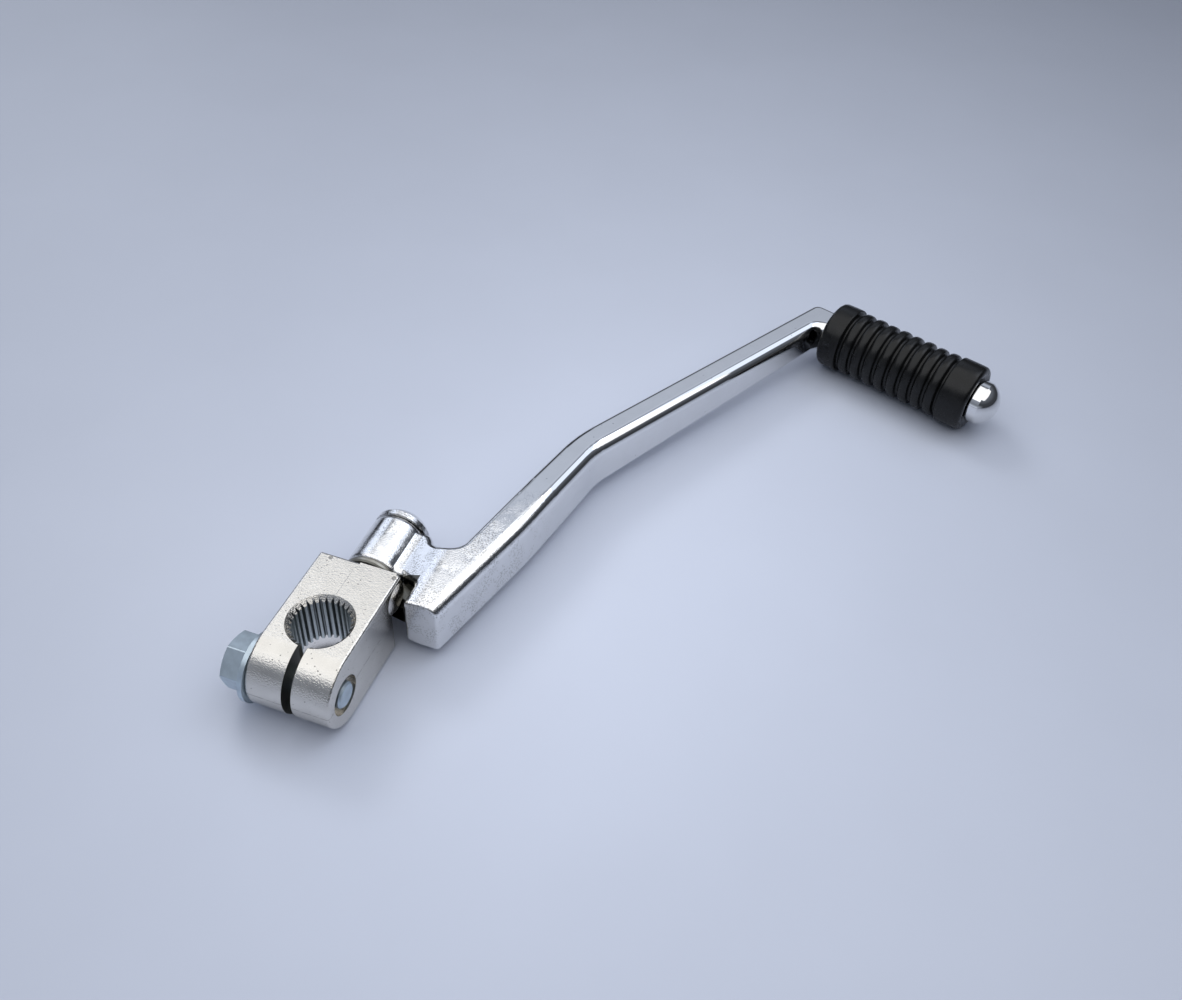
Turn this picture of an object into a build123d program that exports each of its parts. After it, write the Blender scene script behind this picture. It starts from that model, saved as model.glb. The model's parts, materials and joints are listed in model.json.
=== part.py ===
"""Folding kick start lever: a clamp hub, a pivoting forged arm and a rubber-covered peg.

The frame's origin is the middle of the splined bore. +Z runs along the bore, +Y from the bore
towards the pivot, and +X to the side that the folded peg points to. Sizes are millimetres.
"""
import os
from math import atan2, cos, degrees, pi, radians, sin, tan

from build123d import *

# Clamp hub
HUB_WIDTH = 23.0
HUB_HEIGHT = 21.5
HUB_BACK = 21.0
NOSE_REACH = 8.2
HUB_EDGE = 0.8
SLIT_WIDTH = 2.5
CHEEK_RADIUS = 11.2
CHEEK_PROUD = 0.9
CHEEK_INSET = 3.6
CHEEK_LEVEL = 5.2

# Splined bore
TOOTH_COUNT = 30
TIP_DIAMETER = 14.6
TOOTH_DEPTH = 1.0
TIP_LAND_SHARE = 0.42
ROOT_LAND_SHARE = 0.16
RIM_CHAMFER = 1.4
SPLINE_LENGTH = 15.5
RELIEF_STEP = 0.9

# Clamp bolt
BOLT_DIAMETER = 7.0
BOLT_CLEARANCE = 0.15
BOLT_BORE_GAP = 0.15
BOLT_POINT = 0.5
BOLT_PROUD = 0.3
HEX_FLATS = 13.0
HEX_TURN = 45.0
HEAD_HEIGHT = 7.7
HEX_CHAMFER = 0.6
HEX_CORNER = 0.4
FLANGE_DIAMETER = 18.4
FLANGE_EDGE = 1.3
FLANGE_CONE = 0.9
COUNTERBORE_DIAMETER = 10.6
COUNTERBORE_DEPTH = 2.4

# Pivot
PIN_DIAMETER = 10.0
PIN_GRIP = 9.5
PIN_SEAT_CLEARANCE = 0.01
PIN_HEAD_DIAMETER = 16.2
PIN_HEAD_EDGE = 1.4
PIN_DOME = 4.6
PIN_END_CHAMFER = 0.6
SEAL_DIAMETER = 14.4
SEAL_THICKNESS = 3.0
WASHER_DIAMETER = 16.2
WASHER_THICKNESS = 1.5
WASHER_EDGE = 0.4
RING_CLEARANCE = 0.1
RUNNING_CLEARANCE = 0.05
END_CLEARANCE = 0.1

# Stop between hub and arm, angles from +X towards +Z about the pivot
SWING = 90.0
STOP_ANGLE = 10.0
STOP_SLACK = 0.5
LUG_ANGLE = 24.0
LUG_CLEARANCE = 0.5
LUG_ENTRY = 3.5
POCKET_DEPTH = 6.8
BOSS_WALL = 3.8

# Detent in the pivot pin
BALL_DIAMETER = 4.0
BALL_CLEARANCE = 0.1
BALL_PROUD = 1.2
TRACK_CLEARANCE = 0.2
POCKET_EXTRA = 0.25
DETENT_DEPTH = 7.0
SPRING_DIAMETER = 3.4
SPRING_WIRE = 0.6
SPRING_TURNS = 3
SPRING_END_GAP = 0.05

# Lever arm
BARREL_DIAMETER = 16.2
BARREL_LENGTH = 17.1
BARREL_NEAR_EDGE = 1.2
BARREL_EDGE = 1.8
ARM_HEIGHT = 16.2
ARM_KNEE = 66.0
ARM_KNEE_RADIUS = 300.0
ARM_TIP_HEIGHT = 8.8
ARM_WIDTH = 8.7
ARM_BEND_WIDTH = 9.4
ARM_TIP_WIDTH = 9.2
ARM_SWELL = 1.2
SWELL_PLACE = 52.0
SWELL_RADIUS = 200.0
ARM_TOP_EDGE = 1.8
ARM_CREST_EDGE = 3.6
ARM_LOW_EDGE = 1.2
HEEL_FRONT = 15.2
HEEL_GAP = 2.9
HEEL_EDGE = 1.0
INNER_CORNER = 2.0
BEND_POINT = (36.9, 91.6)
ROOT_ANGLE = 12.9
TIP_POINT = (87.5, 187.6)
BEND_INNER_RADIUS = 30.0
BEND_OUTER_RADIUS = 50.0

# Web that joins the bar to the barrel, seen in plan and across the pivot
WEB_BACK = 37.4
WEB_BACK_BLEND = 4.6
WEB_FLARE = 13.5
WEB_FLARE_BLEND = 4.5
WEB_END = (9.8, 42.1)
WEB_END_CORNER = 3.0
WEB_FRONT_STEP = 3.3
WEB_ROOT = 3.0
WEB_SEAT = 0.05
WEB_VALLEY_RADIUS = 3.0
WEB_SLOPE = 19.0
WEB_CREST = 17.0
WEB_CREST_RADIUS = 12.0

# Peg and its rubber
PEG_ANGLE = -19.7
PEG_DIAMETER = 9.0
SHOULDER_WIDTH = 11.0
SHOULDER_REACH = 6.4
SHOULDER_CORNER = 3.0
PEG_INNER_RADIUS = 3.0
BUTTON_DIAMETER = 14.4
BUTTON_NECK = 3.0
BUTTON_DOME = 4.6
RUBBER_CLEARANCE = 0.1
RUBBER_LENGTH = 54.0
COLLAR_DIAMETER = 22.4
COLLAR_EDGE = 1.8
INNER_COLLAR = 7.9
OUTER_COLLAR = 9.7
RIB_COUNT = 8
RIB_DIAMETER = 21.8
GROOVE_DIAMETER = 19.2
GROOVE_WIDTH = 0.8

# Places that follow from the sizes above
TIP_RADIUS = TIP_DIAMETER / 2
ROOT_RADIUS = TIP_RADIUS + TOOTH_DEPTH
BOLT_RADIUS = BOLT_DIAMETER / 2
BOLT_Y = -(TIP_RADIUS + BOLT_BORE_GAP + BOLT_RADIUS)
HUB_FRONT = BOLT_Y - NOSE_REACH
PIN_RADIUS = PIN_DIAMETER / 2
SEAL_START = HUB_BACK
WASHER_START = SEAL_START + SEAL_THICKNESS
BARREL_START = WASHER_START + WASHER_THICKNESS + END_CLEARANCE
BARREL_END = BARREL_START + BARREL_LENGTH
PIN_HEAD_START = BARREL_END + END_CLEARANCE
BOSS_RADIUS = PIN_RADIUS + BOSS_WALL
LUG_RADIUS = max(BOSS_RADIUS, WASHER_DIAMETER / 2) + LUG_CLEARANCE
HEEL_INNER = HUB_WIDTH / 2 + HEEL_GAP
DETENT_Y = (BARREL_START + BARREL_END) / 2
BALL_CENTRE = PIN_RADIUS + BALL_PROUD - BALL_DIAMETER / 2
TIP_ANGLE = degrees(atan2(TIP_POINT[0] - BEND_POINT[0], TIP_POINT[1] - BEND_POINT[1]))
PEG_ROOT = Vector(TIP_POINT[0], TIP_POINT[1], 0)
PEG_DIRECTION = Vector(cos(radians(PEG_ANGLE)), sin(radians(PEG_ANGLE)), 0)
RUBBER_START = PEG_ROOT + PEG_DIRECTION * SHOULDER_REACH
ARM_REACH = RUBBER_START.X + 2 * SHOULDER_WIDTH
MIN_Z = (Align.CENTER, Align.CENTER, Align.MIN)


def turned(profile, centre, direction):
    """Revolve (station, radius) corners about the axis through centre along direction."""
    plane = Plane(origin=centre, x_dir=direction, z_dir=direction.cross(Vector(0, 0, 1)) * -1)
    return revolve(plane * profile, Axis(centre, direction))


def along_y(profile, start=0.0):
    """Revolve a (station, radius) profile about the pivot axis, from the given Y."""
    return turned(profile, Vector(0, start, 0), Vector(0, 1, 0))


def sector(start_angle, sweep, inner_radius, outer_radius):
    """Face in the XZ plane between two radii, swept down from start_angle by sweep degrees."""
    ring = Circle(outer_radius) - Circle(inner_radius)
    reach = 2 * outer_radius
    steps = 4
    fan = [(0, 0)]
    for step in range(steps + 1):
        angle = radians(start_angle - sweep * step / steps)
        fan.append((reach * cos(angle), reach * sin(angle)))
    wedge = make_face(Polyline(*fan, close=True))
    return Plane.XZ * (ring & wedge)


def hub_block():
    """The forged block: flat faces and a clamp end that is fully round about the bolt."""
    half = HUB_HEIGHT / 2
    nose = HUB_FRONT + half
    outline = Polyline((nose, half), (HUB_BACK, half), (HUB_BACK, -half), (nose, -half))
    outline += ThreePointArc((nose, half), (HUB_FRONT, 0), (nose, -half))
    block = extrude(Plane.YZ * make_face(outline), HUB_WIDTH / 2, both=True)
    sides = block.faces().filter_by(Axis.X)
    back = block.faces().sort_by(Axis.Y)[-1]
    rims = sides.edges() + back.edges().filter_by(Axis.X)
    return fillet(rims, HUB_EDGE)


def spline_cutter():
    """Serrated bore: tooth tips are lands of the tip circle, and the gaps narrow outwards."""
    pitch = 2 * pi / TOOTH_COUNT
    gap_half = pitch * (1 - TIP_LAND_SHARE) / 2
    root_half = pitch * ROOT_LAND_SHARE / 2
    flank_x = TIP_RADIUS * cos(gap_half)
    flank_y = TIP_RADIUS * sin(gap_half)
    root_x = ROOT_RADIUS * cos(root_half)
    root_y = ROOT_RADIUS * sin(root_half)
    inner_x = TIP_RADIUS - TOOTH_DEPTH
    corners = [(inner_x, -flank_y), (flank_x, -flank_y), (root_x, -root_y)]
    corners += [(root_x, root_y), (flank_x, flank_y), (inner_x, flank_y)]
    gap = make_face(Polyline(*corners, close=True))
    first_gap = 90 + 180 / TOOTH_COUNT
    gaps = [place * gap for place in PolarLocations(0, TOOTH_COUNT, start_angle=first_gap)]
    teeth = Circle(TIP_RADIUS) + gaps
    top = HUB_HEIGHT / 2
    bore = extrude(Pos(0, 0, top - SPLINE_LENGTH) * teeth, SPLINE_LENGTH)
    relief_depth = HUB_HEIGHT - SPLINE_LENGTH
    relief = Pos(0, 0, -top + relief_depth / 2) * Cylinder(ROOT_RADIUS + RELIEF_STEP, relief_depth)
    rim = Pos(0, 0, top - RIM_CHAMFER / 2) * Cone(TIP_RADIUS, TIP_RADIUS + RIM_CHAMFER, RIM_CHAMFER)
    return bore + relief + rim


def stop_cheek():
    """Shallow swelling of the +X face, above the notch that the arm's stop lug runs in."""
    centre = HUB_WIDTH / 2 + CHEEK_PROUD - CHEEK_RADIUS
    ball = Pos(centre, HUB_BACK - CHEEK_INSET, CHEEK_LEVEL) * Sphere(CHEEK_RADIUS)
    room = Box(HUB_WIDTH, HUB_BACK, HUB_HEIGHT, align=(Align.MIN, Align.MIN, Align.CENTER))
    return ball & room


def clamp_hub():
    hub = hub_block() + stop_cheek() - spline_cutter()
    slit_length = -HUB_FRONT
    hub -= Pos(0, HUB_FRONT / 2, 0) * Box(SLIT_WIDTH, slit_length, HUB_HEIGHT)
    bolt_axis = Pos(0, BOLT_Y, 0) * Rot(0, 90, 0)
    hub -= bolt_axis * Cylinder(BOLT_RADIUS + BOLT_CLEARANCE, HUB_WIDTH)
    recess = (HUB_WIDTH - COUNTERBORE_DEPTH) / 2
    hub -= bolt_axis * Pos(0, 0, recess) * Cylinder(COUNTERBORE_DIAMETER / 2, COUNTERBORE_DEPTH)
    seat = Rectangle(PIN_GRIP, PIN_RADIUS + PIN_SEAT_CLEARANCE, align=(Align.MIN, Align.MIN))
    hub -= along_y(seat, HUB_BACK - PIN_GRIP)
    travel = LUG_ANGLE + SWING + 2 * STOP_SLACK
    swept = sector(STOP_ANGLE, travel, BOSS_RADIUS, HUB_WIDTH + HUB_HEIGHT)
    hub -= Pos(0, HUB_BACK, 0) * extrude(swept, POCKET_DEPTH)
    return hub


def clamp_bolt():
    """Flanged hex bolt: head on the -X ear, end showing in the +X ear's counterbore."""
    seat = -HUB_WIDTH / 2
    end = HUB_WIDTH / 2 + BOLT_PROUD
    flange_radius = FLANGE_DIAMETER / 2
    cone_top = FLANGE_EDGE + FLANGE_CONE
    hex_corner = HEX_FLATS / 2 / cos(pi / 6)
    turned_head = Polyline(
        (0, 0),
        (0, flange_radius),
        (FLANGE_EDGE, flange_radius),
        (cone_top, hex_corner),
        (cone_top, 0),
        close=True,
    )
    centre = Vector(seat, BOLT_Y, 0)
    head = turned(make_face(turned_head), centre, Vector(-1, 0, 0))
    hexagon = fillet(RegularPolygon(hex_corner, 6, rotation=HEX_TURN).vertices(), HEX_CORNER)
    cap = Polyline(
        (0, 0),
        (0, hex_corner + HEX_CHAMFER),
        (HEAD_HEIGHT - HEX_CHAMFER, hex_corner),
        (HEAD_HEIGHT, HEX_FLATS / 2 - HEX_CHAMFER),
        (HEAD_HEIGHT, 0),
        close=True,
    )
    prism = Pos(seat, BOLT_Y, 0) * Rot(0, -90, 0) * extrude(hexagon, HEAD_HEIGHT)
    head += prism & turned(make_face(cap), centre, Vector(-1, 0, 0))
    shank_length = end - seat
    shank = Polyline(
        (0, 0),
        (0, BOLT_RADIUS),
        (shank_length - BOLT_POINT, BOLT_RADIUS),
        (shank_length, BOLT_RADIUS - BOLT_POINT),
        (shank_length, 0),
        close=True,
    )
    return head + turned(make_face(shank), centre, Vector(1, 0, 0))


def detent_bore(radius, depth):
    """Radial hole that runs inwards from the pin's +X side."""
    return Pos(PIN_RADIUS - depth / 2, DETENT_Y, 0) * Rot(0, 90, 0) * Cylinder(radius, depth)


def pivot_pin():
    start = HUB_BACK - PIN_GRIP
    shank_length = PIN_HEAD_START - start
    head_radius = PIN_HEAD_DIAMETER / 2
    edge_top = shank_length + PIN_HEAD_EDGE
    body = Polyline(
        (edge_top + PIN_DOME, 0),
        (0, 0),
        (0, PIN_RADIUS - PIN_END_CHAMFER),
        (PIN_END_CHAMFER, PIN_RADIUS),
        (shank_length, PIN_RADIUS),
        (shank_length, head_radius),
        (edge_top, head_radius),
    )
    dome_radius = (head_radius**2 + PIN_DOME**2) / (2 * PIN_DOME)
    body += RadiusArc((edge_top, head_radius), (edge_top + PIN_DOME, 0), dome_radius)
    pin = along_y(make_face(body), start)
    return pin - detent_bore(BALL_DIAMETER / 2 + BALL_CLEARANCE, DETENT_DEPTH)


def ring(inner_radius, outer_radius, thickness, start):
    section = Pos(0, inner_radius) * Rectangle(
        thickness, outer_radius - inner_radius, align=(Align.MIN, Align.MIN)
    )
    return along_y(section, start)


def thrust_washer():
    outer = WASHER_DIAMETER / 2
    washer = ring(PIN_RADIUS + RING_CLEARANCE, outer, WASHER_THICKNESS, WASHER_START)
    circles = washer.edges().filter_by(GeomType.CIRCLE).sort_by(SortBy.RADIUS)
    return chamfer(circles[-2:], WASHER_EDGE)


def dust_seal():
    return ring(PIN_RADIUS + RING_CLEARANCE, SEAL_DIAMETER / 2, SEAL_THICKNESS, SEAL_START)


def detent_ball():
    return Pos(BALL_CENTRE, DETENT_Y, 0) * Sphere(BALL_DIAMETER / 2)


def detent_spring():
    """Compression spring between the floor of the pin's radial hole and the ball."""
    floor = PIN_RADIUS - DETENT_DEPTH + SPRING_END_GAP
    top = BALL_CENTRE - BALL_DIAMETER / 2 - SPRING_END_GAP
    height = top - floor - SPRING_WIRE
    coil_radius = (SPRING_DIAMETER - SPRING_WIRE) / 2
    path = Helix(pitch=height / SPRING_TURNS, height=height, radius=coil_radius)
    section = Plane(path @ 0, z_dir=path % 0) * Circle(SPRING_WIRE / 2)
    coil = sweep(section, path)
    return Pos(floor + SPRING_WIRE / 2, DETENT_Y, 0) * Rot(0, 90, 0) * coil


def offset_line(point, angle, offset):
    """A point and a heading, moved sideways to the right of a heading given from +Y."""
    right = Vector(cos(radians(angle)), -sin(radians(angle)), 0)
    heading = Vector(sin(radians(angle)), cos(radians(angle)), 0)
    return Vector(*point) + right * offset, heading


def crossing(first, second):
    """Where two (point, heading) lines of the plan meet."""
    (p, u), (q, v) = first, second
    gap = q - p
    along = (gap.X * v.Y - gap.Y * v.X) / (u.X * v.Y - u.Y * v.X)
    meet = p + u * along
    return meet.X, meet.Y


def arm_plan():
    """Plan of heel, web, cranked bar and the leg that the peg's shoulder is cut from."""
    half = ARM_BEND_WIDTH / 2
    tip_half = ARM_TIP_WIDTH / 2
    root_flare = degrees(atan2(ARM_WIDTH / 2 - half, BEND_POINT[1] - HEEL_FRONT))
    tip_flare = degrees(atan2(half - tip_half, TIP_POINT[1] - BEND_POINT[1]))
    root_right = offset_line(BEND_POINT, ROOT_ANGLE - root_flare, half)
    root_left = offset_line(BEND_POINT, ROOT_ANGLE + root_flare, -half)
    tip_right = offset_line(TIP_POINT, TIP_ANGLE - tip_flare, tip_half)
    tip_left = offset_line(TIP_POINT, TIP_ANGLE + tip_flare, -tip_half)
    swell_x, swell_y = crossing((Vector(0, SWELL_PLACE, 0), Vector(1, 0, 0)), root_right)
    peg_heading = 90 - PEG_ANGLE
    shoulder_near = offset_line(TIP_POINT, peg_heading, SHOULDER_WIDTH / 2)
    shoulder_far = offset_line(TIP_POINT, peg_heading, -SHOULDER_WIDTH / 2)
    beyond = RUBBER_START + PEG_DIRECTION * SHOULDER_WIDTH
    leg_end = (beyond, Vector(-PEG_DIRECTION.Y, PEG_DIRECTION.X, 0))
    heel_front = (Vector(0, HEEL_FRONT, 0), Vector(1, 0, 0))
    web_back = (Vector(0, WEB_BACK, 0), Vector(1, 0, 0))
    corners = [
        ((HEEL_INNER, HEEL_FRONT), 0),
        (crossing(heel_front, root_right), 0),
        ((swell_x + ARM_SWELL, swell_y), SWELL_RADIUS),
        (crossing(root_right, tip_right), BEND_INNER_RADIUS),
        (crossing(tip_right, shoulder_near), PEG_INNER_RADIUS),
        (crossing(shoulder_near, leg_end), 0),
        (crossing(shoulder_far, leg_end), 0),
        (crossing(shoulder_far, tip_left), SHOULDER_CORNER),
        (crossing(tip_left, root_left), BEND_OUTER_RADIUS),
        (crossing(root_left, web_back), WEB_BACK_BLEND),
        ((WEB_FLARE, WEB_BACK), WEB_FLARE_BLEND),
        (WEB_END, WEB_END_CORNER),
        ((WEB_ROOT, WEB_END[1]), 0),
        ((WEB_ROOT, BARREL_START), 0),
        ((LUG_RADIUS, BARREL_START), 0),
        ((HEEL_INNER, BARREL_START - WEB_FRONT_STEP), INNER_CORNER),
    ]
    points = [point for point, radius in corners]
    radii = [radius for point, radius in corners]
    return make_face(FilletPolyline(*points, radius=radii, close=True))


def web_section():
    """Section across the pivot: the barrel's round, a valley and a slope up to the flat bar."""
    half = ARM_HEIGHT / 2
    sink = half - WEB_CREST * tan(radians(WEB_SLOPE))
    upper = [(0, sink), (WEB_CREST, half), (ARM_REACH, half)]
    corners = upper + [(x, -z) for x, z in reversed(upper)]
    crests = [0, WEB_CREST_RADIUS, 0]
    section = make_face(FilletPolyline(*corners, radius=crests + crests[::-1], close=True))
    seat = BARREL_DIAMETER / 2 - WEB_SEAT
    section += Circle(seat)
    valleys = section.vertices().filter_by(lambda corner: abs(corner.center().length - seat) < WEB_SEAT)
    section = fillet(valleys, WEB_VALLEY_RADIUS)
    return extrude(Plane.XZ * section, TIP_POINT[1] + 2 * SHOULDER_WIDTH, both=True)


def bar_rims(bar):
    """Upper and lower edges of the bar's side walls, but not at the heel or in the barrel."""
    walls = bar.faces().filter_by(lambda face: abs(face.normal_at().Z) < sin(pi / 4))

    def is_rim(edge):
        middle = edge @ 0.5
        upright = abs((edge % 0.5).Z) > cos(pi / 4)
        at_heel = middle.Y < HEEL_FRONT + END_CLEARANCE
        return not upright and not at_heel and middle.X > WEB_ROOT + END_CLEARANCE

    return walls.edges().filter_by(is_rim)


def on_crest(edge):
    """Whether an edge runs along the bar's right-hand side, up to the near side of the peg."""
    middle = edge @ 0.5
    angle = ROOT_ANGLE if middle.Y < BEND_POINT[1] else TIP_ANGLE
    centre = BEND_POINT[0] + (middle.Y - BEND_POINT[1]) * tan(radians(angle))
    across = (middle - PEG_ROOT).dot(Vector(-PEG_DIRECTION.Y, PEG_DIRECTION.X, 0))
    return middle.X > centre and across < -PEG_DIAMETER / 2


def arm_bar():
    """The bar: the plan at full height, thinned towards the peg and rounded along its edges."""
    half = ARM_HEIGHT / 2
    tip_half = ARM_TIP_HEIGHT / 2
    near = HEEL_FRONT - ARM_WIDTH
    far = TIP_POINT[1] + SHOULDER_WIDTH
    side = [(near, half), (ARM_KNEE, half), (far, tip_half)]
    side += [(station, -height) for station, height in reversed(side)]
    knees = [0, ARM_KNEE_RADIUS, 0]
    envelope = make_face(FilletPolyline(*side, radius=knees + knees[::-1], close=True))
    bar = extrude(Plane.YZ * envelope, ARM_REACH, both=True)
    bar &= extrude(arm_plan(), ARM_HEIGHT, both=True)
    bar &= web_section()
    upper = bar_rims(bar).filter_by(lambda edge: (edge @ 0.5).Z > 0)
    bar = fillet(upper.filter_by(on_crest), ARM_CREST_EDGE)
    upper = bar_rims(bar).filter_by(lambda edge: (edge @ 0.5).Z > 0)
    bar = fillet(upper.filter_by(lambda edge: not on_crest(edge)), ARM_TOP_EDGE)
    bar = fillet(bar_rims(bar).filter_by(lambda edge: (edge @ 0.5).Z < 0), ARM_LOW_EDGE)
    bar = fillet(bar.faces().sort_by(Axis.Y)[0].edges(), HEEL_EDGE)
    rubber_face = Plane(origin=RUBBER_START, z_dir=PEG_DIRECTION)
    surplus = Box(2 * SHOULDER_WIDTH, 2 * SHOULDER_WIDTH, 2 * SHOULDER_WIDTH, align=MIN_Z)
    return bar - rubber_face * surplus


def barrel():
    radius = BARREL_DIAMETER / 2
    corners = [(0, 0), (0, radius), (BARREL_LENGTH, radius), (BARREL_LENGTH, 0)]
    edges = [0, BARREL_NEAR_EDGE, BARREL_EDGE, 0]
    return along_y(make_face(FilletPolyline(*corners, radius=edges, close=True)), BARREL_START)


def peg():
    """Round peg under the rubber, closed by a domed button that keeps the rubber on."""
    length = SHOULDER_REACH + RUBBER_LENGTH
    peg_radius = PEG_DIAMETER / 2
    button_radius = BUTTON_DIAMETER / 2
    button_start = length + RUBBER_CLEARANCE
    neck_end = button_start + BUTTON_NECK
    outline = Polyline(
        (neck_end + BUTTON_DOME, 0),
        (0, 0),
        (0, peg_radius),
        (button_start, peg_radius),
        (button_start, button_radius),
        (neck_end, button_radius),
    )
    dome_radius = (button_radius**2 + BUTTON_DOME**2) / (2 * BUTTON_DOME)
    outline += RadiusArc((neck_end, button_radius), (neck_end + BUTTON_DOME, 0), dome_radius)
    return turned(make_face(outline), PEG_ROOT, PEG_DIRECTION)


def detent_track():
    """Groove of the bore that the ball runs in, with a deeper pocket at each end."""
    ball_radius = BALL_DIAMETER / 2
    section = Pos(BALL_CENTRE, DETENT_Y) * Circle(ball_radius + TRACK_CLEARANCE)
    track = revolve(section, Axis((0, 0, 0), (0, -1, 0)), SWING)
    pocket = Pos(BALL_CENTRE, DETENT_Y, 0) * Sphere(ball_radius + TRACK_CLEARANCE + POCKET_EXTRA)
    return track + pocket + Rot(0, -SWING, 0) * pocket


def lever_arm():
    arm = arm_bar() + barrel() + peg()
    lug_face = sector(STOP_ANGLE - STOP_SLACK, LUG_ANGLE, LUG_RADIUS, HEEL_INNER + ARM_TOP_EDGE)
    lug_end = BARREL_START + WASHER_THICKNESS
    lug_length = lug_end - (HUB_BACK - LUG_ENTRY)
    arm += Pos(0, lug_end, 0) * extrude(lug_face, lug_length)
    bore = Rectangle(BARREL_LENGTH, PIN_RADIUS + RUNNING_CLEARANCE, align=(Align.MIN, Align.MIN))
    arm -= along_y(bore, BARREL_START)
    return arm - detent_track()


def pedal_rubber():
    """Moulded sleeve: a smooth collar at each end and rounded ribs between them."""
    bore = PEG_DIAMETER / 2 + RUBBER_CLEARANCE
    collar = COLLAR_DIAMETER / 2
    groove = GROOVE_DIAMETER / 2
    rib = RIB_DIAMETER / 2
    ribs_end = RUBBER_LENGTH - OUTER_COLLAR
    pitch = (ribs_end - INNER_COLLAR) / RIB_COUNT
    half_groove = GROOVE_WIDTH / 2
    start = RUBBER_CLEARANCE
    inner_wall = INNER_COLLAR - half_groove
    outer_wall = ribs_end + half_groove
    outline = Line((inner_wall, collar - half_groove), (inner_wall, groove))
    outline += RadiusArc(
        (INNER_COLLAR - GROOVE_WIDTH, collar), (inner_wall, collar - half_groove), half_groove
    )
    outline += Line((start + COLLAR_EDGE, collar), (INNER_COLLAR - GROOVE_WIDTH, collar))
    outline += RadiusArc((start, collar - COLLAR_EDGE), (start + COLLAR_EDGE, collar), COLLAR_EDGE)
    outline += Polyline((start, collar - COLLAR_EDGE), (start, bore), (RUBBER_LENGTH, bore))
    outline += Line((RUBBER_LENGTH, bore), (RUBBER_LENGTH, collar - COLLAR_EDGE))
    outline += RadiusArc(
        (RUBBER_LENGTH - COLLAR_EDGE, collar), (RUBBER_LENGTH, collar - COLLAR_EDGE), COLLAR_EDGE
    )
    outline += Line((RUBBER_LENGTH - COLLAR_EDGE, collar), (ribs_end + GROOVE_WIDTH, collar))
    outline += RadiusArc(
        (outer_wall, collar - half_groove), (ribs_end + GROOVE_WIDTH, collar), half_groove
    )
    outline += Line((outer_wall, collar - half_groove), (outer_wall, groove))
    for index in range(RIB_COUNT + 1):
        middle = INNER_COLLAR + index * pitch
        outline += Line((middle - half_groove, groove), (middle + half_groove, groove))
    for index in range(RIB_COUNT):
        left = INNER_COLLAR + index * pitch + half_groove
        right = left + pitch - GROOVE_WIDTH
        outline += ThreePointArc((left, groove), ((left + right) / 2, rib), (right, groove))
    return turned(make_face(outline), RUBBER_START, PEG_DIRECTION)


NODES = {
    "clamp_hub": clamp_hub,
    "clamp_bolt": clamp_bolt,
    "pivot_pin": pivot_pin,
    "dust_seal": dust_seal,
    "thrust_washer": thrust_washer,
    "detent_ball": detent_ball,
    "detent_spring": detent_spring,
    "lever_arm": lever_arm,
    "pedal_rubber": pedal_rubber,
}

os.makedirs("parts", exist_ok=True)
for name, make in NODES.items():
    solid = make()
    export_step(solid, f"parts/{name}.step")
    print(f"{name}: {len(solid.solids())} solid, {solid.volume:.1f} mm3")
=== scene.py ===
# %% [markdown]
# # Folding kick start lever, dressed for its portrait
# The lever is a forged chrome arm that folds on a pin in a nickel-plated clamp hub, with a
# ribbed rubber sleeve on its peg. The hard parts come in as exact solids, at their real size and
# place. This lesson makes the soft parts anew, gives every surface its finish, and then builds the
# table, the lights and the camera.

# %% Load the frame
import json
from math import cos, pi, radians, sin

import bpy
from mathutils import Euler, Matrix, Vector

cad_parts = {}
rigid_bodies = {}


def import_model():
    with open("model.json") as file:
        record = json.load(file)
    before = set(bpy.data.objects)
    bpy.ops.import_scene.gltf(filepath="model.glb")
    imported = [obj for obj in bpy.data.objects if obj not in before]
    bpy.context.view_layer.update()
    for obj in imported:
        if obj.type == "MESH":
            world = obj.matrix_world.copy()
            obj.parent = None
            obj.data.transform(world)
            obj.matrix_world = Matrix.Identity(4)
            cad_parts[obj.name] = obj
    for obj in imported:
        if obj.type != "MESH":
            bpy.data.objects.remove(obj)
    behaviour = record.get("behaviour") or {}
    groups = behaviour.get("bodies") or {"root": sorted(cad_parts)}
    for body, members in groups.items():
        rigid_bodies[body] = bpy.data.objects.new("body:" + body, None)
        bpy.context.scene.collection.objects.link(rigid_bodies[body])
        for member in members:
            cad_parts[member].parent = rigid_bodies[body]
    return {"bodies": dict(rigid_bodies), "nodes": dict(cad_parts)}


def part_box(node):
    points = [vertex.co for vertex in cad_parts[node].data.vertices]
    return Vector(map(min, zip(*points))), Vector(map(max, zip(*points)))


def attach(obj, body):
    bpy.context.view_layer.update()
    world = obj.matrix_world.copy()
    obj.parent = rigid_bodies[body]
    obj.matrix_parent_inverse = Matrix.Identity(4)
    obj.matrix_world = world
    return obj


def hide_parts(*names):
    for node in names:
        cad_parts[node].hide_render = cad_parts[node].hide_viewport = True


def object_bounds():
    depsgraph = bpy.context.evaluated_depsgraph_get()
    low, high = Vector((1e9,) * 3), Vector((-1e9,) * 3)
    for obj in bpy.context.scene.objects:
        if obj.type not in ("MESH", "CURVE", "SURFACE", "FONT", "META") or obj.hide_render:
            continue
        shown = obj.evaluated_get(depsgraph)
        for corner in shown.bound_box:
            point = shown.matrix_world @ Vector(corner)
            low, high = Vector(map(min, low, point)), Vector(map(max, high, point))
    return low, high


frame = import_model()
nodes = frame["nodes"]
cad_low, cad_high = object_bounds()
MM = 0.001
print("pieces:", ", ".join(sorted(nodes)))
print("box in mm:", [round(value / MM, 1) for value in (cad_high - cad_low)])

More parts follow.
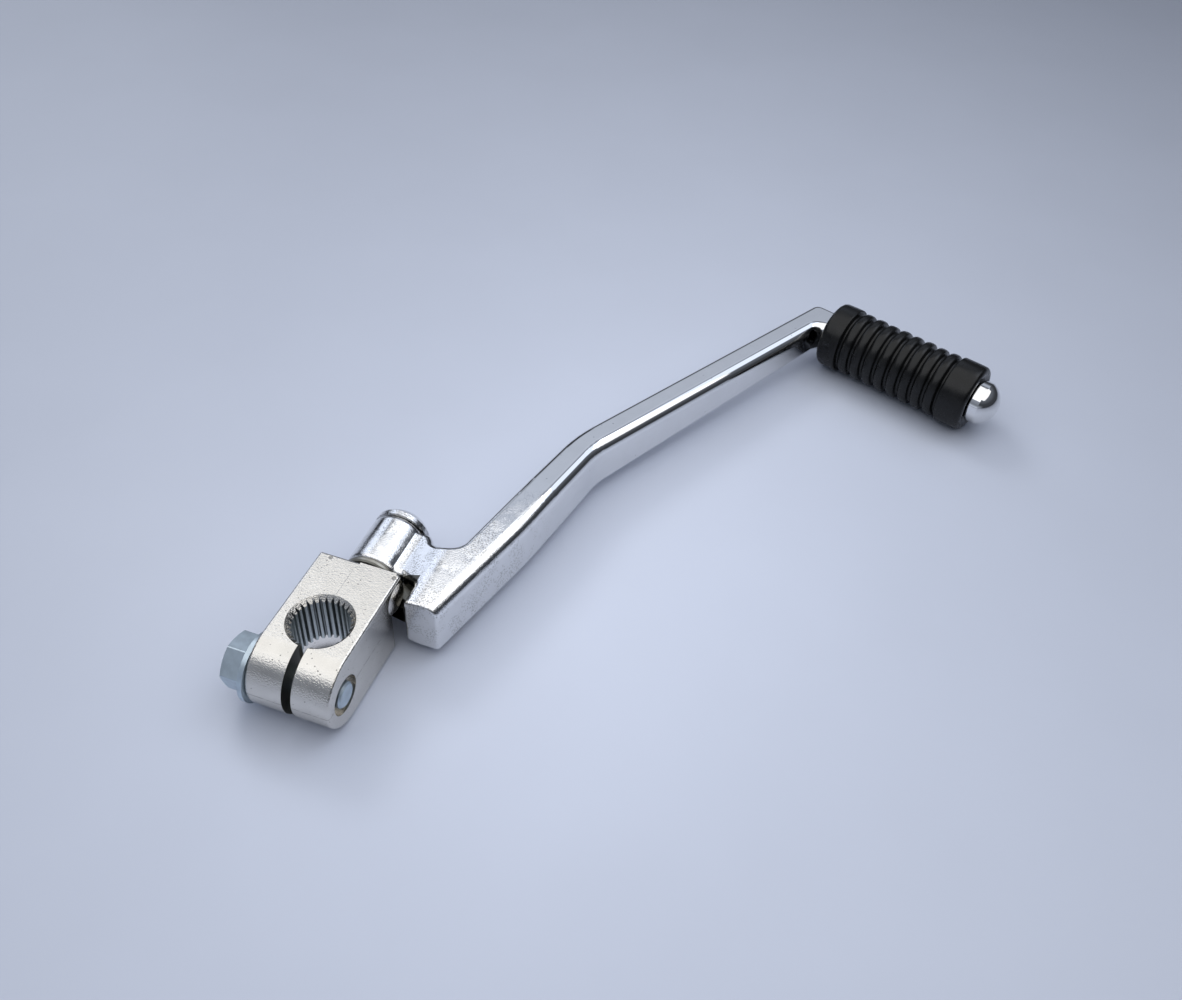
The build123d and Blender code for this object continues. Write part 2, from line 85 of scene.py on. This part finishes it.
# %% [markdown]
# ## Shader arithmetic
# A finish is a recipe: noise times a mask, one minus a ramp, and so on. Wiring Math nodes by
# hand hides that recipe, so a small class wraps a socket and lets Python's own operators add the
# Math nodes. Python tries the reflected forms, such as the one for 1 - mask, when the number
# stands first.

# %% A socket that can be used in arithmetic
class Value:
    """One output socket of a node tree. Arithmetic on it adds Math nodes."""

    def __init__(self, tree, socket):
        self.tree = tree
        self.socket = socket

    def math(self, operation, *terms, clamp=False):
        made = self.tree.nodes.new("ShaderNodeMath")
        made.operation = operation
        made.use_clamp = clamp
        for index, term in enumerate(terms):
            feed(self.tree, term, made.inputs[index])
        return Value(self.tree, made.outputs[0])

    def __add__(self, other):
        return self.math("ADD", self, other)

    def __radd__(self, other):
        return self.math("ADD", other, self)

    def __sub__(self, other):
        return self.math("SUBTRACT", self, other)

    def __rsub__(self, other):
        return self.math("SUBTRACT", other, self)

    def __mul__(self, other):
        return self.math("MULTIPLY", self, other)

    def __rmul__(self, other):
        return self.math("MULTIPLY", other, self)

    def __truediv__(self, other):
        return self.math("DIVIDE", self, other)

    def __rtruediv__(self, other):
        return self.math("DIVIDE", other, self)

    def __pow__(self, other):
        return self.math("POWER", self, other)

    def clamped(self):
        return self.math("ADD", self, 0.0, clamp=True)

    def larger(self, other):
        return self.math("MAXIMUM", self, other)

    def size(self):
        return self.math("ABSOLUTE", self)

    def below(self, limit, soft):
        """1 under the limit, 0 above it, with a ramp of the given width."""
        return ((limit - self) / soft + 0.5).clamped()

    def above(self, limit, soft):
        """1 over the limit, 0 under it, with a ramp of the given width."""
        return ((self - limit) / soft + 0.5).clamped()


def feed(tree, source, socket):
    """Link a Value to a socket, or set the socket to a plain number, colour or vector."""
    if isinstance(source, Value):
        tree.links.new(source.socket, socket)
    else:
        socket.default_value = source


# %% [markdown]
# ## One maker for all other nodes
# Every other node comes from one method. It sets the node's own settings first, because some of
# them change which sockets there are, and then fills or links the sockets. A finish starts with
# Object coordinates: each piece lies in the frame's own metres, so a mask can simply name the
# place where a mark sits on the real part.

# %% A node tree that makes its own nodes
class Wiring:
    """A node tree with its node maker."""

    def __init__(self, tree):
        self.tree = tree

    def pick(self, sockets, key):
        """A socket by its number, its identifier or its name."""
        if isinstance(key, int):
            return sockets[key]
        for socket in sockets:
            if socket.identifier == key:
                return socket
        return sockets[key.replace("_", " ")]

    def node(self, kind, settings=None, *inputs, out=0, **sockets):
        made = self.tree.nodes.new(kind)
        for key, value in (settings or {}).items():
            setattr(made, key, value)
        for key, value in [*enumerate(inputs), *sockets.items()]:
            feed(self.tree, value, self.pick(made.inputs, key))
        return Value(self.tree, self.pick(made.outputs, out))

    def mix(self, share, first, second):
        """A colour between two colours."""
        return self.node(
            "ShaderNodeMix", {"data_type": "RGBA"}, out="Result_Color",
            Factor_Float=share, A_Color=first, B_Color=second,
        )


class Finish(Wiring):
    """A procedural material on Object coordinates."""

    def __init__(self, name):
        self.material = bpy.data.materials.new(name)
        self.material.use_nodes = True
        super().__init__(self.material.node_tree)
        self.shader = self.tree.nodes["Principled BSDF"]
        self.place = self.node("ShaderNodeTexCoord", out="Object")
        self.x = self.node("ShaderNodeSeparateXYZ", None, self.place, out="X")
        self.y = self.node("ShaderNodeSeparateXYZ", None, self.place, out="Y")
        self.z = self.node("ShaderNodeSeparateXYZ", None, self.place, out="Z")

    def noise(self, grain, detail=3.0):
        """Noise whose lumps are about grain metres across, from 0 to 1."""
        return self.node("ShaderNodeTexNoise", None, self.place, Scale=1 / grain, Detail=detail)

    def specks(self, spacing, share, soft):
        """Scattered dots: 1 inside them, each a share of the spacing in radius."""
        away = self.node("ShaderNodeTexVoronoi", None, self.place, Scale=1 / spacing, out="Distance")
        return away.below(share, soft)

    def spot(self, centre, radius, soft):
        """1 inside a ball about a point of the frame, with a soft rim."""
        measure = {"operation": "DISTANCE"}
        away = self.node("ShaderNodeVectorMath", measure, self.place, centre, out="Value")
        return away.below(radius, soft)

    def bump(self, height, depth, **under):
        """A surface normal for a height from 0 to 1 that stands for depth metres."""
        return self.node(
            "ShaderNodeBump", Height=height, Distance=depth, Strength=1.0, out="Normal", **under
        )

    def set(self, **sockets):
        for key, value in sockets.items():
            feed(self.tree, value, self.pick(self.shader.inputs, key))

    def dress(self, *pieces):
        for piece in pieces:
            piece.data.materials.clear()
            piece.data.materials.append(self.material)
        print(self.material.name, "on", ", ".join(piece.name for piece in pieces))


def point(x, y, z):
    """A point of the frame, given in millimetres."""
    return Vector((x, y, z)) * MM


def grey(level, tint=(1.0, 1.0, 1.0)):
    """A grey of the given level, with a tint."""
    return (level * tint[0], level * tint[1], level * tint[2], 1.0)


COOL = (0.96, 1.0, 1.05)
WARM = (1.0, 0.965, 0.90)
BLUE = (0.86, 1.0, 1.10)
OLIVE = (1.0, 0.97, 0.86)
SHEET = (0.91, 1.0, 1.19)
BLACK = grey(0.0)

# %% [markdown]
# ## Chrome
# Bright chrome has almost no colour of its own: it is the softboxes, the table and the dark room
# between them. What makes it look like plated steel is how the polish ends. The bar is smooth with
# a long faint waviness, and around the pivot the skin of the forging shows through as a fine grain,
# which breaks up the edge of every reflection there. Both are bumps, one long and one short, and
# a mask on the distance along the arm fades the grain out. In patches the grain holds dark grit,
# but not on the corner of the heel, which is worn clean. The faces towards the hub are darkened
# as painted shade, standing in for the shadowed gap between arm and hub.

# %% Chrome of the arm and the pin
FORGED_END, FORGED_FADE = 58 * MM, 22 * MM
HEEL_CORNER = point(31, 27, 10)
CLEAN_RADIUS, CLEAN_FADE = 9 * MM, 5 * MM
HEEL_INNER_X, HEEL_INNER_Y = 14.6 * MM, 25.5 * MM


def chrome_finish():
    chrome = Finish("arm_chrome_finish")
    cloud = chrome.noise(6 * MM, detail=4.0)
    wave = chrome.noise(24 * MM, detail=1.0)
    grain = chrome.noise(0.36 * MM, detail=2.0)
    forged = chrome.y.below(FORGED_END, FORGED_FADE)
    skin = forged * (0.35 + 0.65 * chrome.noise(7 * MM, detail=2.0).above(0.47, 0.14))
    pits = chrome.specks(3.4 * MM, 0.07, 0.05)
    clean = chrome.spot(HEEL_CORNER, CLEAN_RADIUS, CLEAN_FADE)
    rough = forged * chrome.noise(5 * MM, detail=2.0).above(0.5, 0.1) * (1 - clean)
    grit = rough * chrome.specks(0.55 * MM, 0.36, 0.2)
    bright = chrome.mix(cloud, grey(0.75), grey(0.83))
    bright = chrome.mix((pits * 0.35).larger(grit * 0.6), bright, grey(0.22))
    # Faces towards the hub, inside these x and y limits: painted shade of the gap between arm and
    # hub.
    painted_gap_shade = chrome.x.below(HEEL_INNER_X, 0.15 * MM) * chrome.y.below(HEEL_INNER_Y, 0.1 * MM)
    chrome.set(
        Base_Color=chrome.mix(painted_gap_shade, bright, grey(0.09, (1.0, 0.97, 0.85))),
        Metallic=1.0,
        Roughness=0.03 + cloud * 0.03 + skin * 0.05,
        Normal=chrome.bump(grain * skin, 0.06 * MM, Normal=chrome.bump(wave, 0.02 * MM)),
    )
    return chrome


chrome_finish().dress(nodes["lever_arm"], nodes["pivot_pin"])

# %% [markdown]
# ## Nickel
# The hub is forged, tumbled and plated with satin nickel: warmer and duller than chrome, with a
# fine orange-peel skin, sparse pits, a faint seam where the two dies met, a scratch on its top and
# two small punched dimples at its rear corners, whose hollows are darkened as painted shade. Its
# bore was broached after forging, so the teeth are bare blue-grey steel with brighter tips. The
# slit and the pocket for the arm's lug are darkened as painted shade. All of it is one material,
# because on the real hub it is one surface: masks on the place tell the teeth, the slit and the
# seam apart.

# %% Nickel of the hub
PUNCH_MARKS = (point(-7.9, 19.8, 10.75), point(10.3, 19.4, 10.75))
PUNCH_RADIUS, PUNCH_FADE = 0.62 * MM, 0.2 * MM
SCRATCH_X, SCRATCH_START = -0.65 * MM, 9 * MM
TEETH_RADIUS, TEETH_TOP, TOOTH_TIPS = 8.8 * MM, 9.3 * MM, 7.55 * MM
SLIT_HALF, SLIT_END = 1.32 * MM, -7.4 * MM
POCKET_START, POCKET_SLOPE, POCKET_LEFT = 14.1 * MM, 0.18, -4 * MM


def hub_blemishes_and_punch_shade(nickel):
    """Pits, die seam and scratch of the plated skin, and painted shade in the two punched dimples,
    each with its own strength.
    """
    pits = nickel.specks(1.3 * MM, 0.12, 0.08) * nickel.noise(3 * MM).above(0.48, 0.1)
    seam = nickel.z.size().below(0.11 * MM, 0.1 * MM) * nickel.noise(1.6 * MM).above(0.44, 0.1)
    scratch = (nickel.x - SCRATCH_X).size().below(0.05 * MM, 0.06 * MM)
    scratch = scratch * nickel.noise(2.2 * MM).above(0.5, 0.06)
    scratch = scratch * nickel.y.above(SCRATCH_START, 1 * MM)
    left, right = [nickel.spot(mark, PUNCH_RADIUS, PUNCH_FADE) for mark in PUNCH_MARKS]
    # The punched dimples are darkened as painted shade in their hollows.
    punch_shade = left.larger(right)
    return (pits * 0.75).larger(seam * 0.55).larger(scratch * 0.5).larger(punch_shade * 0.6)


def hub_painted_recess_shade(nickel):
    """Painted shade in the recesses: the slit, and the pocket for the arm's lug."""
    slit = nickel.x.size().below(SLIT_HALF, 0.06 * MM) * nickel.y.below(SLIT_END, 0.3 * MM)
    pocket = nickel.y.above(POCKET_START, 0.1 * MM) * nickel.x.above(POCKET_LEFT, 2 * MM)
    pocket = pocket * (nickel.z - POCKET_SLOPE * nickel.x).below(0.1 * MM, 0.1 * MM)
    return slit.larger(pocket)


def nickel_finish():
    nickel = Finish("hub_nickel_finish")
    cloud = nickel.noise(5 * MM, detail=5.0)
    skin = nickel.noise(0.42 * MM, detail=3.0)
    blemish_and_punch_shade = hub_blemishes_and_punch_shade(nickel)
    painted_recess_shade = hub_painted_recess_shade(nickel)
    radius = (nickel.x * nickel.x + nickel.y * nickel.y) ** 0.5
    teeth = radius.below(TEETH_RADIUS, 0.2 * MM) * nickel.z.below(TEETH_TOP, 0.2 * MM)
    tips = radius.below(TOOTH_TIPS, 0.3 * MM)
    steel = nickel.mix(tips, grey(0.26, (0.92, 1.0, 1.02)), grey(0.48, (0.92, 1.0, 1.0)))
    plated = nickel.mix(cloud, grey(0.62, WARM), grey(0.75, WARM))
    plated = nickel.mix(blemish_and_punch_shade, plated, grey(0.10, WARM))
    plated = nickel.mix(teeth, plated, steel)
    nickel.set(
        # The slit and the lug pocket are darkened as painted shade.
        Base_Color=nickel.mix(painted_recess_shade, plated, grey(0.10, (1.0, 0.96, 0.74))),
        Metallic=1.0,
        Roughness=0.13 + cloud * 0.10 + teeth * 0.26 + painted_recess_shade * 0.25,
        Normal=nickel.bump(1.6 * skin - 0.9 * blemish_and_punch_shade, 0.060 * MM),
    )
    return nickel


nickel_finish().dress(nodes["clamp_hub"])

# %% [markdown]
# ## Zinc and plain steel
# The bolt is zinc-plated, which gives a cool blue-grey with cloudy patches, softer than the chrome
# beside it. The thrust washer is ground steel that has yellowed, and the ball and spring inside the
# pin are plain steel. They need no marks of their own, only a cloud in the colour and the polish.

# %% Zinc of the bolt, steel of the small parts
def cloudy_metal(name, dull, bright, patch, rough):
    """A metal with patches of the given size between two colours."""
    metal = Finish(name)
    cloud = metal.noise(patch, detail=5.0)
    grain = metal.noise(0.25 * MM, detail=2.0)
    metal.set(
        Base_Color=metal.mix(cloud.above(0.5, 0.4), dull, bright),
        Metallic=1.0,
        Roughness=rough + cloud * 0.14,
        Normal=metal.bump(grain, 0.003 * MM),
    )
    return metal


zinc = cloudy_metal("bolt_zinc_finish", grey(0.54, BLUE), grey(0.68, BLUE), 2.5 * MM, 0.36)
ground = cloudy_metal("washer_steel_finish", grey(0.26, OLIVE), grey(0.40, OLIVE), 1.5 * MM, 0.26)
plain = cloudy_metal("detent_steel_finish", grey(0.46), grey(0.60), 1.0 * MM, 0.16)
zinc.dress(nodes["clamp_bolt"])
ground.dress(nodes["thrust_washer"])
plain.dress(nodes["detent_ball"], nodes["detent_spring"])

# %% [markdown]
# ## Turning rubber rings
# The sleeve and the seal are both turned shapes. Spin would sweep a drawn profile about an axis,
# but a ring that grows by extruding is easier to follow: a circle is extruded station by station,
# each new loop is scaled to its radius, and in the end the last loop is bridged to the first, which
# closes the bore. The ring grows up the Z axis, and only then turns into place.

# %% A ring grown station by station
def grow_ring(name, profile, sides):
    """A closed ring about Z from (station, radius) pairs in metres, which start at station 0."""
    bpy.ops.object.select_all(action="DESELECT")
    bpy.ops.mesh.primitive_circle_add(vertices=sides, radius=profile[0][1], location=(0, 0, 0))
    ring = bpy.context.object
    ring.name = name
    bpy.ops.object.mode_set(mode="EDIT")
    bpy.ops.mesh.select_mode(type="EDGE")
    bpy.ops.mesh.select_all(action="SELECT")
    for (near, before), (far, after) in zip(profile, profile[1:]):
        bpy.ops.mesh.extrude_edges_move(TRANSFORM_OT_translate={"value": (0, 0, far - near)})
        scale = after / before
        bpy.ops.transform.resize(value=(scale, scale, 1), center_override=(0, 0, far))
    bpy.ops.mesh.select_all(action="DESELECT")
    bpy.ops.mesh.select_non_manifold()
    bpy.ops.mesh.bridge_edge_loops()
    bpy.ops.mesh.select_all(action="SELECT")
    bpy.ops.mesh.normals_make_consistent(inside=False)
    bpy.ops.object.mode_set(mode="OBJECT")
    return ring


def settle(piece, location, turn):
    """Turn and move a piece, and write that into its mesh."""
    piece.location = location
    piece.rotation_euler = turn
    bpy.ops.object.transform_apply(location=True, rotation=True, scale=True)


# %% [markdown]
# ## Profile of the sleeve
# The foot pushes on a moulded sleeve: a smooth collar at each end, eight rounded ribs and narrow
# grooves. No two ribs of a soft moulding are quite alike, so each gets its own height. The profile
# is a list of stations along the sleeve with their radii, and it is written in millimetres, as it
# would be on a drawing.

# %% Profile of the sleeve
SLEEVE_LENGTH = 54.0
BORE = 4.6
COLLAR = 11.2
COLLAR_FACE = COLLAR - 2.2
NEAR_EDGE, FAR_EDGE, GROOVE_EDGE = 1.7, 1.8, 0.6
RECESS, RECESS_RIM, RECESS_FLOOR = 0.5, 8.6, 8.2
GROOVE = 9.4
GROOVE_HALF = 0.5
FIRST_GROOVE, LAST_GROOVE = 7.9, 44.3
RIB = 10.95
RIB_HEIGHTS = (-0.05, 0.0, -0.14, -0.04, -0.1, -0.02, -0.16, -0.06)
RISING = ((-0.98, 0.34), (-0.82, 0.78), (-0.45, 0.97))
FALLING = tuple((-across, up) for across, up in reversed(RISING))
CROWN = (*RISING, (0.0, 1.0), *FALLING)


def rounded(station, radius, edge, start, stop):
    """Five points of a quarter round, with its angle from start to stop degrees."""
    angles = [radians(start + (stop - start) * step / 4) for step in range(5)]
    return [(station + edge * cos(a), radius + edge * sin(a)) for a in angles]


def sleeve_profile():
    pitch = (LAST_GROOVE - FIRST_GROOVE) / len(RIB_HEIGHTS)
    half = pitch / 2 - GROOVE_HALF
    ribs_start = FIRST_GROOVE - GROOVE_HALF
    ribs_end = LAST_GROOVE + GROOVE_HALF
    floor = SLEEVE_LENGTH - RECESS
    points = [(0.0, BORE), (0.0, COLLAR_FACE)]
    points += rounded(NEAR_EDGE, COLLAR - NEAR_EDGE, NEAR_EDGE, 180, 90)
    points += rounded(ribs_start - GROOVE_EDGE, COLLAR - GROOVE_EDGE, GROOVE_EDGE, 90, 0)
    points.append((ribs_start, GROOVE))
    for index, height in enumerate(RIB_HEIGHTS):
        left = FIRST_GROOVE + index * pitch + GROOVE_HALF
        points.append((left, GROOVE))
        for across, up in CROWN:
            points.append((left + half * (1 + across), GROOVE + (RIB + height - GROOVE) * up))
        points.append((left + 2 * half, GROOVE))
    points.append((ribs_end, GROOVE))
    points += rounded(ribs_end + GROOVE_EDGE, COLLAR - GROOVE_EDGE, GROOVE_EDGE, 180, 90)
    points += rounded(SLEEVE_LENGTH - FAR_EDGE, COLLAR - FAR_EDGE, FAR_EDGE, 90, 0)
    points += [(SLEEVE_LENGTH, RECESS_RIM), (floor, RECESS_FLOOR), (floor, BORE)]
    return [(station * MM, radius * MM) for station, radius in points]


print("sleeve loops:", len(sleeve_profile()))

# %% [markdown]
# ## Pedal sleeve
# The grown ring is subdivided once, which rounds every step of the profile, and its skin is pushed
# in by a cloud of up to a sixth of a millimetre. Only inwards, so that the sleeve keeps to the size
# of the solid that it stands for. It then lies down on the peg and rides on the arm.

# %% Sleeve on its peg
PEG_TURN = radians(-19.7)
SLEEVE_PLACE = point(93.53, 185.44, 0.0)
SLEEVE_SIDES = 96
SWELL_DEPTH, SWELL_GRAIN = 0.16 * MM, 5 * MM

sleeve = grow_ring("pedal_sleeve", sleeve_profile(), SLEEVE_SIDES)
smooth = sleeve.modifiers.new("smooth", "SUBSURF")
smooth.levels = smooth.render_levels = 1
swell = bpy.data.textures.new("sleeve_swell", "CLOUDS")
swell.noise_scale = SWELL_GRAIN
push = sleeve.modifiers.new("push", "DISPLACE")
push.texture = swell
push.texture_coords = "LOCAL"
push.mid_level = 1.0
push.strength = SWELL_DEPTH
for name in ("smooth", "push"):
    bpy.ops.object.modifier_apply(modifier=name)
bpy.ops.object.shade_smooth()
settle(sleeve, SLEEVE_PLACE, (0, pi / 2, PEG_TURN))
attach(sleeve, "arm")
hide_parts("pedal_rubber")
print("sleeve faces:", len(sleeve.data.polygons))

# %% [markdown]
# ## Pivot seal
# Between hub and washer sits a thin rubber ring that keeps grit out of the pivot. Two lips with a
# groove between them are what such a seal shows at its rim. Its outer size comes from the solid
# that it replaces, and one half of the profile is mirrored for the other half.

# %% Seal about the pin
seal_low, seal_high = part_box("dust_seal")
SEAL_RIM = (seal_high.x - seal_low.x) / 2
SEAL_WIDTH = seal_high.y - seal_low.y
SEAL_BORE = 5.1 * MM
SEAL_SIDES = 72
LIP = [(0.0, -0.3), (0.05, -0.1), (0.15, 0.0), (0.32, -0.02), (0.42, -0.4), (0.5, -0.55)]
both_lips = LIP + [(1 - share, step) for share, step in LIP[-2::-1]]
seal_profile = [(0.0, SEAL_BORE)]
seal_profile += [(share * SEAL_WIDTH, SEAL_RIM + step * MM) for share, step in both_lips]
seal_profile.append((SEAL_WIDTH, SEAL_BORE))

seal = grow_ring("pivot_seal", seal_profile, SEAL_SIDES)
bpy.ops.object.shade_smooth_by_angle(angle=radians(50))
settle(seal, (0, seal_low.y, 0), (-pi / 2, 0, 0))
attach(seal, "hub")
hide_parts("dust_seal")
print("seal rim in mm:", round(SEAL_RIM / MM, 2), "width:", round(SEAL_WIDTH / MM, 2))

# %% [markdown]
# ## Rubber
# Moulded rubber is nearly black, and what is seen of it is its satin skin: a soft sheen along the
# crown of each rib, broken by a fine grain and by dull patches where a hand has touched it. A few
# specks of dust cling to it.

# %% Rubber of the sleeve and the seal
def rubber_finish(name, rough):
    rubber = Finish(name)
    cloud = rubber.noise(4 * MM, detail=4.0)
    grain = rubber.noise(0.3 * MM, detail=3.0)
    dust = rubber.specks(1.1 * MM, 0.06, 0.05)
    black = rubber.mix(cloud, grey(0.003), grey(0.006, COOL))
    rubber.set(
        Base_Color=rubber.mix(dust * 0.25, black, grey(0.05)),
        Roughness=rough + cloud.above(0.5, 0.35) * 0.14,
        Specular_IOR_Level=0.30,
        Normal=rubber.bump(grain, 0.020 * MM),
    )
    return rubber


rubber_finish("pedal_rubber_finish", 0.22).dress(sleeve)
rubber_finish("seal_rubber_finish", 0.45).dress(seal)

# %% [markdown]
# ## Table
# The part lies on a pale sheet, a large plane. The arm folds downwards, so the sheet keeps to the
# height of the arm's lowest corner: at rest the part lies on it, and as the arm swings down, the
# sheet sinks out of its way. An empty that rides on the arm marks that corner, and a Copy Location
# constraint hands its height to the sheet. A small disc of the same sheet stays under the bore.

# %% Table and disc
TABLE_SIZE = 24.0
DISC_RADIUS, DISC_LIFT = 9 * MM, 0.05 * MM

bpy.ops.object.select_all(action="DESELECT")
bpy.ops.mesh.primitive_plane_add(size=TABLE_SIZE, location=(0, 0, 0))
table = bpy.context.object
table.name = "table"
arm_corner = bpy.data.objects.new("arm_corner", None)
arm_corner.location = (cad_high.x, 0, cad_low.z)
arm_corner.parent = frame["bodies"]["arm"]
bpy.context.scene.collection.objects.link(arm_corner)
follow = table.constraints.new("COPY_LOCATION")
follow.target = arm_corner
follow.use_x = follow.use_y = False

bpy.ops.object.select_all(action="DESELECT")
bpy.ops.mesh.primitive_circle_add(vertices=64, radius=DISC_RADIUS, fill_type="NGON")
disc = bpy.context.object
disc.name = "bore_disc"
disc.location.z = cad_low.z + DISC_LIFT
print("table at rest in mm:", round(cad_low.z / MM, 2))

# %% [markdown]
# ## Sheet
# The sheet is a blue-grey with a little sheen. Its colour carries a painted pool of light: it is
# brightest around the part and falls off towards its far edges, as a lit paper sweep does, through a
# radial mask on Object coordinates, which keeps the lamps plain. Through the bore the real sheet
# looks pale, as if no shadow fell there, so the disc under the bore gives off a little light.

# %% Sheet of the table and the disc
SHEET_X, SHEET_Y = 0.056, 0.06
REACH_X, REACH_Y = 0.06, 0.087
SHEET_FALLOFF = -0.135
SHEET_COLOUR = (0.61, 0.655, 0.77, 1.0)
GLOW_COLOUR = (0.54, 0.58, 0.71, 1.0)
GLOW_RADIUS, GLOW_FADE = 8 * MM, 2 * MM


def sheet_finish(name):
    sheet = Finish(name)
    across = (sheet.x - SHEET_X) / REACH_X
    along = (sheet.y - SHEET_Y) / REACH_Y
    # Painted pool of light: the colour is brightest around the part and darker towards the far
    # edges.
    painted_light_pool = (1 + across * across + along * along) ** SHEET_FALLOFF
    cloud = sheet.noise(0.05, detail=4.0)
    level = painted_light_pool * (0.97 + 0.06 * cloud)
    sheet.set(
        Base_Color=sheet.mix(level, BLACK, SHEET_COLOUR),
        Roughness=0.30,
        Specular_IOR_Level=0.22,
    )
    return sheet


sheet_finish("table_finish").dress(table)
glowing = sheet_finish("bore_disc_finish")
glow = glowing.spot((0, 0, 0), GLOW_RADIUS, GLOW_FADE)
glowing.set(Emission_Color=glowing.mix(glow, BLACK, GLOW_COLOUR), Emission_Strength=1.0)
glowing.dress(disc)

# %% [markdown]
# ## Lamps
# Polished metal needs large lamps with plain edges. A panel over the part gives the hub's top and
# the rounded edges their white, and its far edge is where the arm's flat top turns from white to
# the grey of the wall behind. A smaller, stronger box behind it on the left throws the soft shadow
# to the right of the arm. It is hidden from reflections, because its mirror image would burn a
# white patch into the hub's top.

# %% Lamps
KEY_TARGET = Vector((0.04, 0.08, 0.0))


def heading(azimuth, elevation):
    """The direction towards a place in the room. Azimuth 0 is +Y and 90 is +X."""
    a, e = radians(azimuth), radians(elevation)
    return Vector((sin(a) * cos(e), cos(a) * cos(e), sin(e)))


def lamp_at(name, place, turn, width, height, radiance):
    """A rectangular lamp whose face has the given radiance."""
    data = bpy.data.lights.new(name, "AREA")
    data.shape = "RECTANGLE"
    data.size = width
    data.size_y = height
    data.energy = pi * radiance * width * height
    lamp = bpy.data.objects.new(name, data)
    lamp.location = place
    lamp.rotation_euler = turn
    bpy.context.scene.collection.objects.link(lamp)
    print(name, "gives", round(data.energy, 2), "W")
    return lamp


key = heading(azimuth=-48, elevation=42)
key_turn = key.to_track_quat("Z", "Y").to_euler()
lamp_at(
    "overhead_panel", place=(0.075, 0.03, 0.5), turn=Euler((0, 0, 0)),
    width=1.35, height=0.86, radiance=1.12,
)
key_box = lamp_at(
    "key_box", place=KEY_TARGET + key, turn=key_turn, width=0.35, height=0.25, radiance=6.5
)
key_box.visible_glossy = False

# %% [markdown]
# ## Room
# Chrome mirrors the room as much as the lamps, so the world is a room of soft discs of light: dark
# at the horizon and dim above, with a dim wall and a low glow in front for the sides of the bar, a
# grey wall behind that the flat of the bar mirrors, a pale patch on the left, and one high on the
# right that draws the white band along the bar's rounded edge.

# %% Room around the lamps
world = bpy.data.worlds.new("studio")
world.use_nodes = True
bpy.context.scene.world = world
room = Wiring(world.node_tree)
sight = room.node("ShaderNodeTexCoord", out="Generated")
rise = room.node("ShaderNodeSeparateXYZ", None, sight, out="Z")


def wall(azimuth, elevation, reach, soft):
    """1 within reach degrees of a direction, with a soft rim."""
    measure = {"operation": "DOT_PRODUCT"}
    aim = heading(azimuth, elevation)
    near = room.node("ShaderNodeVectorMath", measure, sight, aim, out="Value")
    return near.above(cos(radians(reach)), soft)


ceiling = 0.10 * rise.above(0.40, 0.3)
front_wall = 0.16 * wall(azimuth=-150, elevation=28, reach=40, soft=0.15)
front_glow = wall(azimuth=-150, elevation=5, reach=60, soft=0.3)
front_glow = 0.40 * rise.size().below(0.14, 0.16) * front_glow
back_wall = (0.06 + 0.60 * rise) * wall(azimuth=-12, elevation=36, reach=16, soft=0.04)
left_patch = wall(azimuth=-50, elevation=28, reach=13, soft=0.03)
right_patch = wall(azimuth=40, elevation=52, reach=18, soft=0.02)
level = 0.05 + ceiling + front_wall + front_glow + back_wall + left_patch + right_patch
background = room.tree.nodes["Background"]
background.inputs["Color"].default_value = grey(1.0, SHEET)
feed(room.tree, level, background.inputs["Strength"])
print("room nodes:", len(room.tree.nodes))

# %% [markdown]
# ## Camera
# The camera stands where the photograph was taken from: on the right in front of the part, looking
# down at about 45 degrees. Its lens, place and turn come from matching the edges of the real part.

# %% Camera
PHOTO_WIDTH = 1182
FOCAL_PIXELS = 1158.1
CAMERA_PLACE = point(114.01, -153.52, 233.25)
CAMERA_TURN = (45.737, -2.685, 19.554)

camera_data = bpy.data.cameras.new("camera")
camera_data.sensor_width = 36.0
camera_data.lens = FOCAL_PIXELS / PHOTO_WIDTH * camera_data.sensor_width
camera_data.clip_start = 0.01
camera_data.clip_end = 100.0
camera = bpy.data.objects.new("camera", camera_data)
camera.location = CAMERA_PLACE
camera.rotation_euler = Euler([radians(angle) for angle in CAMERA_TURN])
bpy.context.scene.collection.objects.link(camera)
bpy.context.scene.camera = camera
print("lens in mm:", round(camera_data.lens, 2))

# %% Finish
bpy.context.scene.view_settings.view_transform = "Standard"
